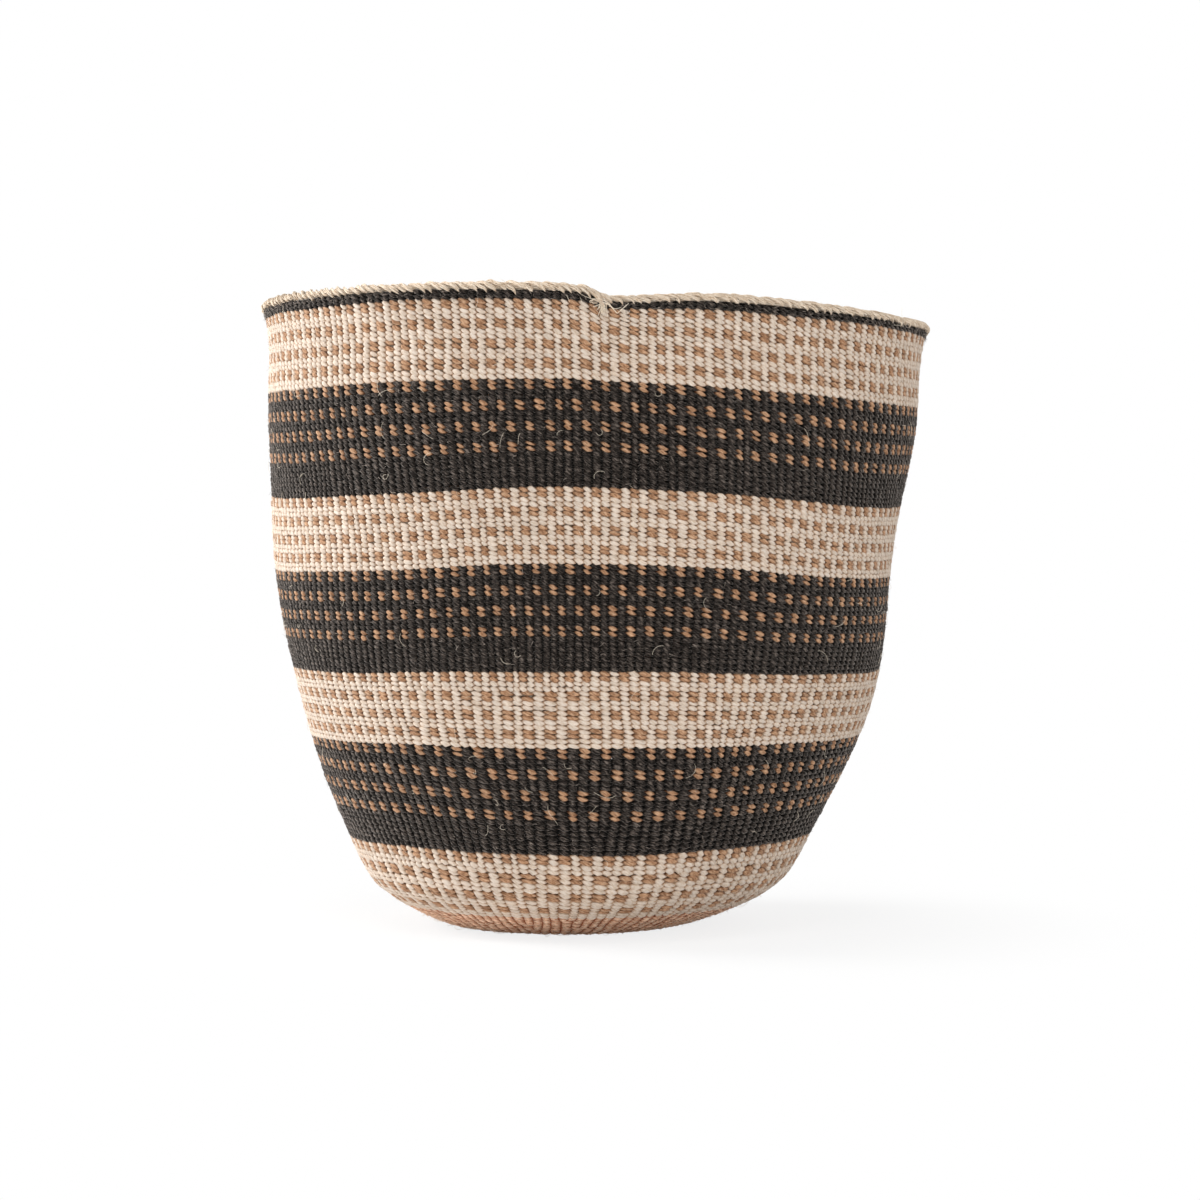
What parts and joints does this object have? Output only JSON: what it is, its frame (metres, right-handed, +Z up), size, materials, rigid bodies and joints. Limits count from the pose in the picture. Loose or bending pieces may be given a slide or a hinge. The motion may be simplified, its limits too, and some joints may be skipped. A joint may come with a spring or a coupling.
{
  "type": "woven basket",
  "caption": "Soft round basket of twined sisal with an open top and a flat base. It holds loose goods, fruit, yarn or a potted plant.",
  "frame": {"origin": "the middle of the basket's box, on the surface that it stands on", "axes": "+Z up out of the mouth, -Y towards the front, where the rim's tie-off knot is, +X to the front viewer's right"},
  "size_m": [0.2963, 0.2998, 0.2808],
  "materials": {
    "cream_sisal": "matt sisal cord, undyed and bleached",
    "black_sisal": "matt sisal cord, dyed black",
    "tan_sisal": "matt sisal cord, dyed tan",
    "natural_sisal": "raw sisal fibre with a slight sheen"
  },
  "bodies": {
    "root": {"warps": "natural_sisal", "base_centre": "tan_sisal", "base_courses": "tan_sisal", "base_turn": "tan_sisal", "cream_band_1": "cream_sisal", "black_band_1_plain": "black_sisal", "black_band_1_dotted": "black_sisal", "cream_band_2": "cream_sisal", "black_band_2_plain": "black_sisal", "black_band_2_dotted": "black_sisal", "cream_band_3": "cream_sisal", "black_band_3_plain": "black_sisal", "black_band_3_dotted": "black_sisal", "cream_band_4": "cream_sisal", "rim_black_course": "black_sisal", "rim_edge": "natural_sisal", "rim_knot": "natural_sisal", "rim_knot_tail": "natural_sisal"}
  },
  "joints": []
}
